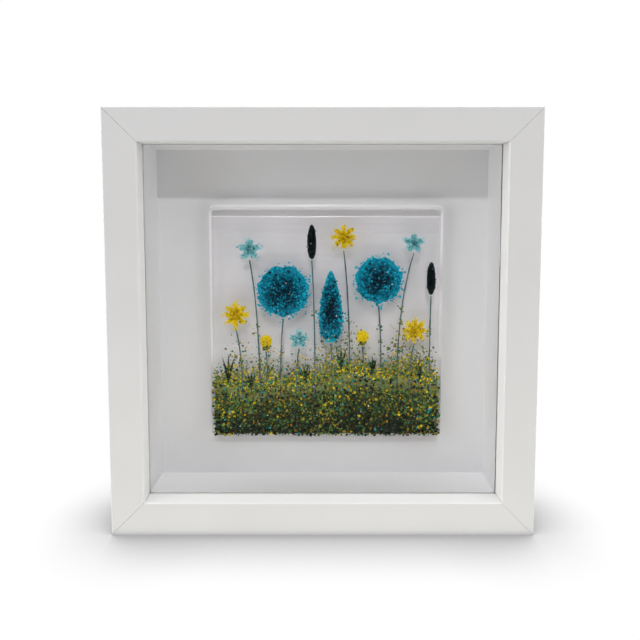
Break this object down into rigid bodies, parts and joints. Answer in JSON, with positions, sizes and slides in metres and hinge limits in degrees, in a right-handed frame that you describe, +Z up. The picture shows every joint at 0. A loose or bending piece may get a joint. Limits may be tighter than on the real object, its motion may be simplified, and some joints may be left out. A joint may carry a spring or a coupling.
{
  "type": "framed fused-glass flower panel",
  "caption": "Clear fused-glass panel with a meadow of crushed-glass flowers, on stand-off pads inside a deep white box frame with a front glass.",
  "frame": {"origin": "middle of the underside of the bottom rail, on the surface that the frame stands on", "axes": "+Z up, +X to the right seen from the front, -Y out of the front glass, +Y out of the back"},
  "size_m": [0.25, 0.045, 0.25],
  "materials": {
    "painted_wood": "smooth white lacquer on wood, satin",
    "front_glass": "clear float glass, 2 mm",
    "fused_glass": "clear fused glass with fire-polished edges",
    "spacer_foil": "white foil on fibre strip, faint sheen",
    "white_card": "matt white card",
    "fibre_board": "brown hardboard, matt",
    "steel": "zinc-plated spring steel",
    "foam_pad": "white foam stand-off",
    "frit_teal": "crushed teal glass, fused",
    "frit_yellow": "crushed yellow glass, fused",
    "frit_pale": "crushed pale turquoise glass, fused",
    "frit_dark": "crushed black-green glass, fused",
    "frit_green": "crushed green, olive and amber glass, fused",
    "glass_rod": "thin grey-teal glass rod, fused"
  },
  "bodies": {
    "root": {"back_board": "fibre_board", "backing_card": "white_card", "dark_reed_1_head": "frit_dark", "dark_reed_1_stem": "glass_rod", "dark_reed_2_head": "frit_dark", "dark_reed_2_stem": "glass_rod", "front_glass": "front_glass", "glass_panel": "fused_glass", "grass_clump_1": "frit_dark", "grass_clump_2": "frit_dark", "grass_clump_3": "frit_dark", "grass_clump_4": "frit_dark", "grass_clump_5": "frit_dark", "grass_clump_6": "frit_dark", "ground_bed": "frit_green", "hanger": "steel", "pad_1": "foam_pad", "pad_2": "foam_pad", "pad_3": "foam_pad", "pad_4": "foam_pad", "pale_star_1_head": "frit_pale", "pale_star_1_stem": "glass_rod", "pale_star_2_head": "frit_pale", "pale_star_2_stem": "glass_rod", "pale_star_3_head": "frit_pale", "pale_star_3_stem": "glass_rod", "rail_bottom": "painted_wood", "rail_left": "painted_wood", "rail_right": "painted_wood", "rail_top": "painted_wood", "rivet_1": "steel", "rivet_2": "steel", "spacer_bottom": "spacer_foil", "spacer_left": "spacer_foil", "spacer_right": "spacer_foil", "spacer_top": "spacer_foil", "tab_bottom_1": "steel", "tab_bottom_2": "steel", "tab_left_1": "steel", "tab_left_2": "steel", "tab_right_1": "steel", "tab_right_2": "steel", "tab_top_1": "steel", "tab_top_2": "steel", "teal_globe_1_head": "frit_teal", "teal_globe_1_stem": "glass_rod", "teal_globe_2_head": "frit_teal", "teal_globe_2_stem": "glass_rod", "teal_spike_1_head": "frit_teal", "teal_spike_1_stem": "glass_rod", "yellow_bud_1_head": "frit_yellow", "yellow_bud_1_stem": "glass_rod", "yellow_bud_2_head": "frit_yellow", "yellow_bud_2_stem": "glass_rod", "yellow_daisy_1_head": "frit_yellow", "yellow_daisy_1_stem": "glass_rod", "yellow_daisy_2_head": "frit_yellow", "yellow_daisy_2_stem": "glass_rod", "yellow_daisy_3_head": "frit_yellow", "yellow_daisy_3_stem": "glass_rod"}
  },
  "joints": []
}
